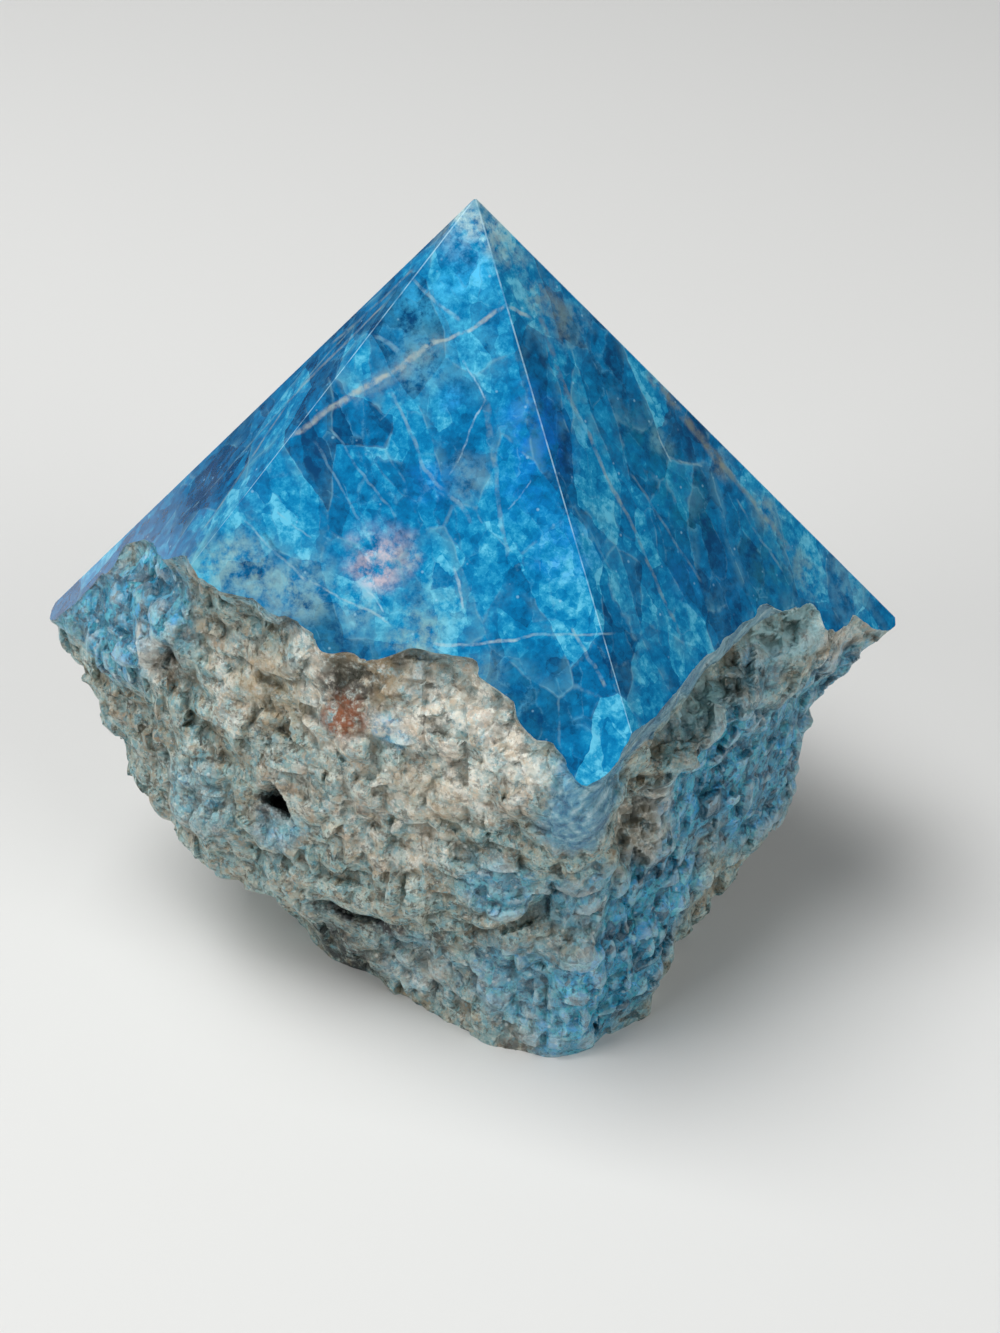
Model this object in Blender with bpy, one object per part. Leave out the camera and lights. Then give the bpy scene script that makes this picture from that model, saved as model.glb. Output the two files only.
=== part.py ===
# Apatite point: one rough lump of blue apatite whose top is ground flat on six sides and polished.
#
# The stone is made the way a lapidary makes it. A rough lump is lofted through outlines taken at several
# heights, its broken skin is roughened, a ledge and a vug are hollowed out, and then the saw and the
# grinding wheel cut it flat: once underneath, so that it stands, and six times round the tip.
#
# Numbers below are millimetres, +Z is up, and x 0, y 0 lies under the tip until the last step, which
# moves the finished stone so that the origin is the middle of its underside.

from math import cos, radians, sin, tan

import bmesh
import bpy
from mathutils import Matrix, Vector, noise

MM = 0.001

# The polished point: the tip's height, and each ridge as its compass angle and its slope, in degrees.
TIP_HEIGHT = 84.0
RIDGES = {
    "right": (5.0, 47.8),
    "back_right": (61.0, 51.0),
    "back_left": (117.0, 52.0),
    "left": (172.0, 46.8),
    "front_left": (207.0, 45.8),
    "front": (297.0, 51.8),
}

# The rough lump: outlines of twelve corners each, anticlockwise from the front corner. The corners are
# front, two on the right flank, right nose, back right, two at the back, back left, left nose, and
# three across the broad front left flank.
OUTLINES = {
    -4.0: ((7.5, -26.5), (15, -20), (19, -12), (22, -2), (18, 10), (10, 18),
           (-8, 17), (-15, 9), (-19, -3), (-17, -9), (-8, -16.5), (1, -24)),
    0.0: ((8, -28.4), (17, -21.2), (21.5, -13), (25, -3), (20, 12), (11, 21),
          (-9, 20), (-18, 11), (-22.5, -3), (-18, -10.4), (-8, -18), (1, -26.4)),
    5.0: ((9.3, -28), (18.7, -21), (24.3, -11.5), (29.5, -2), (24, 14), (13, 24),
          (-11, 23), (-22, 13), (-26.8, -3.4), (-20.2, -10), (-9.5, -17.8), (0.5, -25.2)),
    10.0: ((10.5, -27), (18.7, -20.7), (27, -10), (33.2, -0.3), (27, 16), (14.5, 26.5),
           (-12.5, 25.5), (-26, 15), (-32.8, -3.2), (-24.6, -11.8), (-11, -18.6), (0, -25.6)),
    14.0: ((11, -26.5), (18.5, -19.5), (28, -9.5), (35.3, 0), (29, 17.5), (15.5, 28.5),
           (-13.5, 27.5), (-28.5, 16.5), (-36.6, -3), (-28.7, -13.8), (-13.3, -21.8), (0, -26)),
    21.0: ((12, -27), (18.5, -19.8), (29, -9), (36.8, 1.5), (31, 19), (17, 31),
           (-15, 30), (-32, 18.5), (-40.7, 0), (-31.7, -13.2), (-14.3, -22.6), (0.5, -26.6)),
    28.0: ((12, -28.5), (17.5, -20.5), (29, -8), (40.2, 4), (32, 20), (18, 33),
           (-16, 32), (-34, 20), (-43.5, 3.5), (-32.8, -11), (-14.2, -22.3), (1, -27)),
    34.0: ((11, -30.4), (18.3, -22.3), (30.8, -8), (44.5, 4.3), (32.5, 20.5), (18.5, 34),
           (-16.5, 33.5), (-34, 21), (-46.4, 5.2), (-33, -9.7), (-13.5, -21.9), (2.5, -28.4)),
    37.5: ((10.3, -30.7), (16.8, -21.5), (29, -6), (46, 4.5), (32, 20.5), (18.5, 34),
           (-16.5, 33), (-33.5, 21), (-45, 6), (-32.5, -9.6), (-13, -21.4), (4.8, -28.2)),
    41.0: ((12.5, -30.5), (17.9, -22.9), (28.8, -7), (47, 6), (31, 20), (18, 33),
           (-16, 32), (-32.5, 20), (-42, 6), (-31.2, -10.5), (-13, -20.8), (5.6, -27.3)),
    44.5: ((14.8, -28.8), (18.2, -22.9), (28.6, -7), (47, 6), (30, 19.5), (17.5, 32),
           (-15.5, 31), (-31, 19.5), (-38.5, 6), (-29.2, -11.5), (-13, -20.3), (3.5, -25.8)),
    48.0: ((17, -29), (22, -24), (33, -8), (46, 6), (30, 19.5), (17.5, 32),
           (-15.5, 31), (-31, 19.5), (-39, 6), (-27.3, -12.4), (-13, -20.1), (0.8, -23)),
    52.0: ((17, -29), (24, -24), (34, -8), (46, 6), (30, 19.5), (17.5, 32),
           (-15.5, 31), (-31, 19.5), (-40, 6), (-27, -14.2), (-13.5, -21.5), (0, -25)),
}
# Above the last outline the lump goes straight up past the tip, and the polished faces take it all away.
LUMP_TOP = 90.0

# The broken skin's own forms, each as how far it stands out, how far it reaches, and the line of places
# that it follows. A height below zero is a hollow.
FORMS = {
    "lip above the ledge": (1.2, 3.2, ((-17, -19.6, 17.8), (-10.7, -22, 17.2), (-4.8, -24, 18),
                                       (0, -26, 19.5))),
    "ledge crease": (-1.7, 2.3, ((-22, -14, 12.4), (-17.2, -19, 13.2), (-10.7, -21, 12.8),
                                 (-4.8, -23.7, 14), (-0.1, -25.7, 15.3), (5.4, -26, 18.4),
                                 (8.3, -26.2, 21.5))),
    "lump beside the front ridge": (1.5, 4.8, ((1, -26.3, 23), (4, -26.8, 21.5))),
    "front ridge": (0.9, 3.4, ((9.6, -30, 34), (9, -29, 28), (9.6, -27.5, 20), (10, -26.5, 6))),
    "valley beside the front ridge": (-1.2, 2.6, ((6.4, -26.8, 23), (8.6, -26.6, 17.2))),
    "second ridge on the right": (1.0, 2.8, ((37, -1, 38.6), (32.5, -4.8, 36.8), (28.3, -8, 35.4),
                                             (23.2, -15.6, 34.3), (19.6, -20.2, 33.2))),
    "trough on the right": (-1.8, 2.5, ((33.5, -4, 39.6), (27.4, -8.5, 38.7), (22.7, -14, 37.2),
                                        (18.7, -20.4, 36.2))),
    "pocket under the right trough": (-2.4, 4.6, ((15.8, -23.6, 31.5), (16.6, -22, 25))),
    "notch at the left nose": (-1.9, 2.4, ((-31.5, -10.2, 39.3), (-32.3, -9.6, 37.6))),
    "dip beside the polished tongue": (-1.2, 3.2, ((-6.2, -21.6, 47), (-1.2, -24.2, 44.6),
                                                   (2.2, -25.4, 44), (3.2, -26.4, 42.4))),
    "slab under the vug": (1.1, 2.4, ((-22.6, -17.6, 23.2), (-19.8, -19, 22.6))),
    "step under the slab": (-1.0, 2.2, ((-23, -17, 19.4), (-18.4, -19.4, 19.0))),
    "hollow behind": (-2.2, 8.0, ((-6, 32, 24), (6, 33, 20))),
    "ledge behind": (-1.6, 2.6, ((-24, 26, 27), (-12, 31, 30), (4, 33, 29), (18, 30, 31))),
    "dent at the back left": (-1.8, 6.0, ((-36, 14, 18), (-33, 18, 26))),
}

# The strip under the right polished face, which is worn smooth: the line along its middle, how far it
# reaches, how much of the skin's unevenness it keeps, and how broadly it is worn across its width.
WORN_STRIP = ((28.2, -7, 43.2), (21.8, -15.5, 42.6), (17.2, -23.8, 42.8),
              (14.2, -27.2, 41), (11.2, -29.2, 39), (9.6, -30, 34))
WORN_REACH = 3.4
WORN_UNEVENNESS = 0.12
WORN_BREADTH = 0.5

# The skin's unevenness, as a size and a height for each: slow swells, then crystal lumps of two sizes.
SWELL = (15.0, 1.1)
LUMPS = ((7.5, 1.6), (3.6, 1.1))
LUMP_MIDDLE = 0.45
SKIN_GRAIN = 1.0
SKIN_SMOOTHING = 3
SKIN_TRIANGLES_KEPT = 0.30

# The open recess at the left end of the ledge: the middle, half sizes, turn and tilt of a flat lens,
# and how often a twenty-sided ball is divided to make it.
RECESS_CENTRE = (-14.2, -18.6, 13.2)
RECESS_HALF_SIZE = (4.8, 4.2, 1.55)
RECESS_TURN = -24.0
RECESS_TILT = 12.0
RECESS_DIVISIONS = 3

# The vug, a small hollow with straight sides: its mouth's middle, its corners as seen from outside (to
# the right and up from the middle), the compass angle it goes in by, how steeply it falls, and how deep
# and how narrow it gets.
VUG_MOUTH = (-20.6, -18.4, 27.3)
VUG_CORNERS = ((-2.6, -0.5), (-1.1, 0.7), (-0.2, 1.6), (0.7, 1.3), (2.4, -0.8), (2.0, -1.7), (0.7, -1.0),
               (-1.2, -0.9))
VUG_HEADING = 58.0
VUG_FALL = 40.0
VUG_DEPTH = 9.0
VUG_NARROWING = 0.5
VUG_OUTSIDE = 4.0
VUG_FLARE = 1.35

# Corners nearer than this become one, which leaves no slivers along the cuts.
SLIVER = 0.03

BLUE_APATITE = (0.01, 0.21, 0.46, 1.0)
POLISH_ROUGHNESS = 0.25


def clear_scene():
    for old in list(bpy.data.objects):
        bpy.data.objects.remove(old)


def new_object(name, shape):
    """An object made of a finished bmesh."""
    mesh = bpy.data.meshes.new(name)
    shape.to_mesh(mesh)
    shape.free()
    thing = bpy.data.objects.new(name, mesh)
    bpy.context.scene.collection.objects.link(thing)
    return thing


def apply_modifiers(thing):
    """Replaces the object's mesh by the one that its modifiers make."""
    graph = bpy.context.evaluated_depsgraph_get()
    finished = bpy.data.meshes.new_from_object(thing.evaluated_get(graph))
    thing.modifiers.clear()
    thing.data = finished


def loft_lump():
    """The lump's plain form: a closed skin through the outlines."""
    shape = bmesh.new()
    heights = list(OUTLINES) + [LUMP_TOP]
    outlines = list(OUTLINES.values()) + [OUTLINES[max(OUTLINES)]]
    rings = []
    for height, outline in zip(heights, outlines):
        ring = [shape.verts.new(Vector((x, y, height)) * MM) for x, y in outline]
        rings.append(ring)
    corners = len(rings[0])
    for lower, upper in zip(rings, rings[1:]):
        for i in range(corners):
            j = (i + 1) % corners
            shape.faces.new((lower[i], lower[j], upper[j], upper[i]))
    shape.faces.new(list(reversed(rings[0])))
    shape.faces.new(rings[-1])
    return new_object("apatite_point", shape)


def grain_skin(stone):
    """Rebuilds the skin from small even faces, with the loft's creases softened."""
    remesh = stone.modifiers.new("even faces", "REMESH")
    remesh.mode = "VOXEL"
    remesh.voxel_size = SKIN_GRAIN * MM
    soften = stone.modifiers.new("soften creases", "SMOOTH")
    soften.iterations = SKIN_SMOOTHING
    apply_modifiers(stone)


def distance_to_line(place, corners):
    """Distance from a place to the nearest point of a line of straight pieces."""
    nearest = min((place - corner).length for corner in corners)
    for start, end in zip(corners, corners[1:]):
        along = end - start
        share = (place - start).dot(along) / along.length_squared
        if 0.0 < share < 1.0:
            nearest = min(nearest, (place - start - along * share).length)
    return nearest


def fade(distance, reach):
    """One on the line, easing to nothing at the reach."""
    share = min(1.0, distance / reach)
    return (1.0 - share * share) ** 2


def skin_height(place):
    """How far the broken skin stands out at a place, both in millimetres."""
    size, height = SWELL
    out = height * noise.noise(place / size)
    for size, height in LUMPS:
        nearest = noise.voronoi(place / size)[0][0]
        out += height * (LUMP_MIDDLE - nearest)
    worn = fade(distance_to_line(place, [Vector(corner) for corner in WORN_STRIP]), WORN_REACH)
    out *= 1.0 - (1.0 - WORN_UNEVENNESS) * worn ** WORN_BREADTH
    for height, reach, corners in FORMS.values():
        out += height * fade(distance_to_line(place, [Vector(corner) for corner in corners]), reach)
    return out


def roughen(stone):
    """Moves the skin out and in along its normals, as broken crystal does."""
    shape = bmesh.new()
    shape.from_mesh(stone.data)
    shape.normal_update()
    moved = [vertex.co + vertex.normal * skin_height(vertex.co / MM) * MM for vertex in shape.verts]
    for vertex, place in zip(shape.verts, moved):
        vertex.co = place
    shape.to_mesh(stone.data)
    shape.free()


def thin_out(stone):
    """Keeps only as many faces as the lumps need."""
    thin = stone.modifiers.new("fewer faces", "DECIMATE")
    thin.ratio = SKIN_TRIANGLES_KEPT
    thin.use_collapse_triangulate = True
    apply_modifiers(stone)


def recess_cutter():
    """A flat lens lying along the ledge, part outside the skin and part within it."""
    shape = bmesh.new()
    bmesh.ops.create_icosphere(shape, subdivisions=RECESS_DIVISIONS, radius=1.0)
    place = (
        Matrix.Translation(Vector(RECESS_CENTRE) * MM)
        @ Matrix.Rotation(radians(RECESS_TURN), 4, "Z")
        @ Matrix.Rotation(radians(RECESS_TILT), 4, "Y")
        @ Matrix.Diagonal((*(Vector(RECESS_HALF_SIZE) * MM), 1.0))
    )
    shape.transform(place)
    return new_object("recess_cutter", shape)


def vug_cutter():
    """A tapering block that starts outside the skin and narrows into the stone."""
    shape = bmesh.new()
    heading, fall = radians(VUG_HEADING), radians(VUG_FALL)
    right = Vector((sin(heading), -cos(heading), 0.0))
    inward = Vector((cos(heading) * cos(fall), sin(heading) * cos(fall), -sin(fall)))
    up = right.cross(inward)
    rings = []
    for depth, scale in ((-VUG_OUTSIDE, VUG_FLARE), (VUG_DEPTH, VUG_NARROWING)):
        middle = Vector(VUG_MOUTH) + inward * depth
        corners = [middle + (right * x + up * y) * scale for x, y in VUG_CORNERS]
        rings.append([shape.verts.new(corner * MM) for corner in corners])
    outer, inner = rings
    shape.faces.new(outer)
    shape.faces.new(inner)
    for i in range(len(outer)):
        j = (i + 1) % len(outer)
        shape.faces.new((outer[i], outer[j], inner[j], inner[i]))
    bmesh.ops.recalc_face_normals(shape, faces=shape.faces)
    return new_object("vug_cutter", shape)


def polished_point():
    """The six-sided pyramid that the polished faces lie on. Its underside is the sawn base."""
    shape = bmesh.new()
    tip = Vector((0.0, 0.0, TIP_HEIGHT))
    ring = []
    for compass, slope in RIDGES.values():
        reach = TIP_HEIGHT / tan(radians(slope))
        foot = Vector((reach * cos(radians(compass)), reach * sin(radians(compass)), 0.0))
        ring.append(shape.verts.new(foot * MM))
    top = shape.verts.new(tip * MM)
    shape.faces.new(list(reversed(ring)))
    for i, corner in enumerate(ring):
        shape.faces.new((corner, ring[(i + 1) % len(ring)], top))
    return new_object("polished_point", shape)


def combine(stone, other, operation):
    """Takes the other shape out of the stone, or keeps only what lies inside it."""
    other.hide_render = True
    other.display_type = "WIRE"
    change = stone.modifiers.new("combine", "BOOLEAN")
    change.operation = operation
    change.solver = "EXACT"
    change.object = other
    apply_modifiers(stone)
    bpy.data.objects.remove(other)


def close_slivers(stone):
    """Merges corners that the cuts left almost in one place."""
    shape = bmesh.new()
    shape.from_mesh(stone.data)
    bmesh.ops.triangulate(shape, faces=shape.faces)
    bmesh.ops.remove_doubles(shape, verts=shape.verts, dist=SLIVER * MM)
    shape.to_mesh(stone.data)
    shape.free()


def stand_on_origin(stone):
    """Moves the mesh so that the origin is the middle of the underside of its box."""
    places = [vertex.co for vertex in stone.data.vertices]
    middle_x = (min(p.x for p in places) + max(p.x for p in places)) / 2
    middle_y = (min(p.y for p in places) + max(p.y for p in places)) / 2
    stone.data.transform(Matrix.Translation((-middle_x, -middle_y, 0.0)))


def paint(stone):
    apatite = bpy.data.materials.new("blue_apatite")
    apatite.use_nodes = True
    shader = apatite.node_tree.nodes["Principled BSDF"]
    shader.inputs["Base Color"].default_value = BLUE_APATITE
    shader.inputs["Roughness"].default_value = POLISH_ROUGHNESS
    shader.inputs["Metallic"].default_value = 0.0
    stone.data.materials.append(apatite)


def build():
    clear_scene()
    stone = loft_lump()
    grain_skin(stone)
    roughen(stone)
    thin_out(stone)
    combine(stone, recess_cutter(), "DIFFERENCE")
    combine(stone, vug_cutter(), "DIFFERENCE")
    combine(stone, polished_point(), "INTERSECT")
    close_slivers(stone)
    stand_on_origin(stone)
    paint(stone)


build()
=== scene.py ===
# %% [markdown]
# A polished apatite point. The real thing is a broken lump of blue apatite. A lapidary ground its top to
# flat faces that meet in a tip, then polished those faces. Three of them show in the photo, and three
# more are guessed behind them. The underside is out of sight too, and is taken to be sawn flat. The
# lower half is left as it broke: a crust of crystal grains, each a millimetre or two across.
#
# The frame is the CAD stone, which has the outline, the faces and the larger forms. This script gives
# the stone its fine grain and its colours, and stays inside its size.

import math

import bpy
import numpy as np
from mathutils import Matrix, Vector


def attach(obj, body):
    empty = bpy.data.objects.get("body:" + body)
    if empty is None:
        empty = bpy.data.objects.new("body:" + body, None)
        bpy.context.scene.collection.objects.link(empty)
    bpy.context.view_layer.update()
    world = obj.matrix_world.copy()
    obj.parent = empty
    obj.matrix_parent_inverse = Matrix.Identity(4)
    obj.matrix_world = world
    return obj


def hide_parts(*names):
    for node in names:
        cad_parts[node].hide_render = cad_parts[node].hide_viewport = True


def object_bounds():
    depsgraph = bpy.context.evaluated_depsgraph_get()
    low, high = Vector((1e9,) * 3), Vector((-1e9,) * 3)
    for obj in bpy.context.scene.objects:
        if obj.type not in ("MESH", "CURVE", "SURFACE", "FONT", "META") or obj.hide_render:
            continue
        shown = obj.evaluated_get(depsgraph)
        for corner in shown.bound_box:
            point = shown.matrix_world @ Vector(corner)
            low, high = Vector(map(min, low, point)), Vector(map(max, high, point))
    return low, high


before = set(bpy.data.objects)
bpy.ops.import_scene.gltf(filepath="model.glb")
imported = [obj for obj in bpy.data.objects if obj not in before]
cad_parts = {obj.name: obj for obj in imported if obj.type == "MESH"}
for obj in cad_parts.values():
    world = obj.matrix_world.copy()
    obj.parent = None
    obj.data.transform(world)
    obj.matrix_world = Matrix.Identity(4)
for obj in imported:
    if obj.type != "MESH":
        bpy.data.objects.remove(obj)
cad_low, cad_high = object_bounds()
cad_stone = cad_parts["apatite_point"]
MM = 0.001
print("CAD stone, mm:", [round(side / MM, 1) for side in cad_high - cad_low])

# %% [markdown]
# The polished faces and the sawn base are the only large flat faces of the stone, so they can be found
# in its mesh: faces that share one direction are counted together, and the seven largest sums win.
# Finding them keeps this script right if the stone's angles are ever changed.

# %% Find the flat faces
FLAT_FACES = 7
LARGEST_LOOKED_AT = 2000
SAME_DIRECTION = 0.9998


def find_flat_faces(mesh, count):
    """The largest flat faces of a mesh, each as its outward normal and a point on it."""
    found = []
    for face in sorted(mesh.polygons, key=lambda face: -face.area)[:LARGEST_LOOKED_AT]:
        for flat in found:
            if flat["normal"].dot(face.normal) > SAME_DIRECTION:
                flat["area"] += face.area
                break
        else:
            found.append({"normal": face.normal.copy(), "point": face.center.copy(), "area": face.area})
    return sorted(found, key=lambda flat: -flat["area"])[:count]


flat_faces = find_flat_faces(cad_stone.data, FLAT_FACES)
polished = [flat for flat in flat_faces if flat["normal"].z > 0]
sawn = [flat for flat in flat_faces if flat["normal"].z < 0]
tip = max((vertex.co for vertex in cad_stone.data.vertices), key=lambda place: place.z).copy()
print("polished faces:", len(polished), "sawn faces:", len(sawn))
print("tip at, mm:", [round(c / MM, 1) for c in tip])

# %% [markdown]
# The stone is copied, and its flat faces are pushed outwards a little. The rough skin can then be
# roughened right up to the edge of the polish, and cutting the faces back afterwards gives the crisp
# border that a grinding wheel leaves.

# %% Copy the stone and swell its flat faces
SWELL = 1.0 * MM
GRAIN_MESH = 0.42 * MM
ON_PLANE = 0.02 * MM
FACES_THAT_WAY = 0.99


def edit(obj):
    """Makes this the only selected object, and opens its mesh."""
    if bpy.context.mode != "OBJECT":
        bpy.ops.object.mode_set(mode="OBJECT")
    bpy.ops.object.select_all(action="DESELECT")
    bpy.context.view_layer.objects.active = obj
    obj.select_set(True)
    bpy.ops.object.mode_set(mode="EDIT")
    bpy.ops.mesh.select_all(action="DESELECT")


def close(obj):
    """Leaves edit mode."""
    bpy.ops.object.mode_set(mode="OBJECT")


def lies_on(face, flat):
    """Whether a mesh face is part of a flat face."""
    away = abs((face.center - flat["point"]).dot(flat["normal"]))
    return away < ON_PLANE and face.normal.dot(flat["normal"]) > FACES_THAT_WAY


stone = bpy.data.objects.new("apatite_stone", cad_stone.data.copy())
bpy.context.scene.collection.objects.link(stone)
edit(stone)
bpy.ops.mesh.select_all(action="SELECT")
bpy.ops.mesh.remove_doubles(threshold=0.001 * MM)
close(stone)
edit(stone)
bpy.ops.mesh.select_mode(type="FACE")
close(stone)
for face in stone.data.polygons:
    face.select = any(lies_on(face, flat) for flat in flat_faces)
bpy.ops.object.mode_set(mode="EDIT")
bpy.ops.transform.shrink_fatten(value=SWELL, use_even_offset=True)
close(stone)
print("swollen height, mm:", round(max(v.co.z for v in stone.data.vertices) / MM, 2))

# %% [markdown]
# A voxel remesh turns the big triangles into an even net of small faces, which is fine enough to carry
# single grains.

# %% Give the skin an even net
remesh = stone.modifiers.new("even net", "REMESH")
remesh.mode = "VOXEL"
remesh.voxel_size = GRAIN_MESH
bpy.ops.object.modifier_apply(modifier=remesh.name)
print("net:", len(stone.data.polygons), "faces")

# %% [markdown]
# Apatite in such a lump is a mass of interlocking crystals. Where it breaks, each crystal stands out or
# lies back a little and is broken off at its own slant, with a groove where it meets the next. Blender's
# Displace modifier makes rounded bumps from a texture, but it can't slant each cell, so the heights are
# worked out here with arrays. Points scattered on a shaken grid are the grains' middles. Each grain has
# its own tilted facet, drooping a little with distance, and the highest facet over a place is the one
# that is seen.

# %% Work out the facet over each point
# How strongly a facet droops away from its middle: a high number makes domes, a low one flat plates.
DROOP = 0.45


def facets(places, size, level, slant, seed):
    """For each place: how far the highest facet stands out, how far it clears the next highest, and the
    grain's number. Grains are about size across. Level is how much their heights differ, slant how far
    they tilt."""
    cell = np.floor(places / size).astype(int)
    low = cell.min(axis=0) - 1
    counts = tuple(cell.max(axis=0) - low + 2)
    random = np.random.default_rng(seed)
    offsets = random.random((*counts, 3))
    levels = random.uniform(-level, level, counts)
    slants = random.normal(0.0, slant, (*counts, 3))
    droop = DROOP * (level + slant * size) / size**2
    best = np.full(len(places), -np.inf)
    second = np.full(len(places), -np.inf)
    numbers = np.zeros(len(places), int)
    for step in np.ndindex(3, 3, 3):
        index = cell - low + np.array(step) - 1
        key = tuple(index.T)
        away = places - (index + low + offsets[key]) * size
        height = levels[key] + np.einsum("ij,ij->i", away, slants[key])
        height -= droop * np.einsum("ij,ij->i", away, away)
        higher = height > best
        second = np.where(higher, best, np.maximum(second, height))
        best = np.where(higher, height, best)
        numbers[higher] = np.ravel_multi_index(key, counts)[higher]
    return best, best - second, numbers


def tones(numbers, seed):
    """A random number from 0 to 1 for each grain, the same for all its points."""
    return np.random.default_rng(seed).random(numbers.max() + 1)[numbers]


# %% [markdown]
# Two sizes of grain are laid over each other: blocky crystals of about 4 mm, and grains of about 1.6 mm.
# The skin is worn nearly smooth on the striated strip under the right polished face, so the grain fades
# there. It also fades outside the flat faces, where the stone will be cut away, and round the dark
# hollows, so that they stay open. Close to a flat face it is weaker and the skin is lifted a little, so
# that the border of the cut keeps its course.

# %% Roughen the skin
CRYSTALS = {"size": 4.2 * MM, "level": 0.12 * MM, "slant": 0.06, "seed": 11}
GRAINS = {"size": 1.6 * MM, "level": 0.17 * MM, "slant": 0.30, "seed": 23}
MEAN_HEIGHT = 0.05 * MM
MOST = 0.8 * MM
BORDER_RISE = 0.25 * MM
BORDER_REACH = 2.5 * MM
BORDER_GRAIN = 0.3
STRIP = (
    (28.2, -7, 43.2),
    (21.8, -15.5, 42.6),
    (17.2, -23.8, 42.8),
    (14.2, -27.2, 41),
    (11.2, -29.2, 39),
    (9.6, -30, 34),
)
STRIP_REACH = 5.5 * MM
STRIP_GRAIN = 0.25
FADED_OUTSIDE = 0.7 * SWELL
GROOVE_DEPTH = 0.12 * MM
# Dark hollows: middle, and how far round it the grain is held back, in mm.
HOLLOWS = (((-20.6, -18.4, 27.3), 4.5), ((-14.2, -18.6, 13.2), 5.5), ((-9.5, -20.5, 12.9), 3.0))
foot = Vector((tip.x, tip.y, 0.0))


def from_tip_foot(place):
    """A place given in millimetres from the ground under the tip, in the stone's own frame."""
    return foot + Vector(place) * MM


def distance_to_line(places, corners):
    """How far each place is from a line of straight pieces."""
    nearest = np.full(len(places), np.inf)
    for start, end in zip(corners, corners[1:]):
        along = end - start
        share = np.clip((places - start) @ along / (along @ along), 0.0, 1.0)
        nearest = np.minimum(nearest, np.linalg.norm(places - start - share[:, None] * along, axis=1))
    return nearest


def above(places, flat):
    """How far each place is outside a flat face."""
    return (places - np.array(flat["point"])) @ np.array(flat["normal"])


def read(mesh, name):
    """The mesh's vertex places or normals as an array."""
    values = np.zeros(len(mesh.vertices) * 3)
    mesh.vertices.foreach_get(name, values)
    return values.reshape(-1, 3)


def store(mesh, name, values):
    """Keeps one number for each vertex, for the materials to read."""
    mesh.attributes.new(name, "FLOAT", "POINT").data.foreach_set("value", values.astype(np.float32))


places = read(stone.data, "co")
normals = read(stone.data, "normal")
crystal_height, _, _ = facets(places, **CRYSTALS)
grain_height, grain_gap, grain_numbers = facets(places, **GRAINS)
strip_line = np.array([from_tip_foot(corner) for corner in STRIP])
worn = np.clip(1.0 - distance_to_line(places, strip_line) / STRIP_REACH, 0.0, 1.0)
height = crystal_height + grain_height
outside = np.max([above(places, flat) for flat in flat_faces], axis=0)
height = np.clip(height - height[outside < 0].mean() + MEAN_HEIGHT, -MOST, MOST)
height *= 1.0 - (1.0 - STRIP_GRAIN) * np.sqrt(worn)
near_border = np.clip(1.0 + outside / BORDER_REACH, 0.0, 1.0)
height *= 1.0 - (1.0 - BORDER_GRAIN) * near_border
height += BORDER_RISE * near_border
height *= np.clip(1.0 - outside / FADED_OUTSIDE, 0.0, 1.0)
for middle, reach in HOLLOWS:
    away = np.linalg.norm(places - np.array(from_tip_foot(middle)), axis=1) / (reach * MM)
    height *= np.clip(away, 0.0, 1.0) ** 2
inside_box = (np.array(cad_low) - [0, 0, 2 * SWELL], np.array(cad_high) + [0, 0, 2 * SWELL])
roughened = np.clip(places + normals * height[:, None], *inside_box)
stone.data.vertices.foreach_set("co", roughened.ravel())
stone.data.update()
store(stone.data, "grain_tone", tones(grain_numbers, 7))
# Where the grooves between facets lie, for the painted shade there.
store(stone.data, "groove_shade", np.clip(1.0 - grain_gap / GROOVE_DEPTH, 0.0, 1.0))
store(stone.data, "worn", worn)
under_polish = np.min([-above(places, flat) for flat in polished], axis=0)
store(stone.data, "under_polish", under_polish / MM)
print("skin moves, mm:", round(height.min() / MM, 2), "to", round(height.max() / MM, 2))
print("spread of the grain, mm:", round(height[outside < 0].std() / MM, 3))

# %% [markdown]
# The broken skin is painted darker in its hollows, which is painted shade, and paler on the edges that stand
# out. Both follow how far a point lies below or above the average of its neighbourhood, which is found by
# smoothing a copy of the points and comparing.

# %% Measure hollows and edges
# Each measure: how many rounds of smoothing, and the height that counts as one.
RELIEFS = {"relief_fine": (6, 0.15 * MM), "relief_broad": (60, 0.8 * MM)}


def relief(mesh, rounds):
    """How far each vertex stands out from its smoothed neighbourhood, in metres. Below zero is a hollow."""
    places = read(mesh, "co")
    edges = np.zeros(len(mesh.edges) * 2, int)
    mesh.edges.foreach_get("vertices", edges)
    first, second = edges.reshape(-1, 2).T
    neighbours = np.bincount(edges, minlength=len(places))[:, None]
    smooth = places.copy()
    for _ in range(rounds):
        total = np.zeros_like(smooth)
        for axis in range(3):
            total[:, axis] += np.bincount(first, smooth[second, axis], len(places))
            total[:, axis] += np.bincount(second, smooth[first, axis], len(places))
        smooth = total / neighbours
    return np.einsum("ij,ij->i", places - smooth, read(mesh, "normal"))


for name, (rounds, one) in RELIEFS.items():
    store(stone.data, name, relief(stone.data, rounds) / one)

# %% [markdown]
# Now the wheel. A block is cut to the six polished planes and the sawn base, as the lapidary would like
# the stone to be, and what the stone and the block have in common is what is left on the wheel.

# %% Cut and polish
BLOCK_SIDE = 400 * MM

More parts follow.
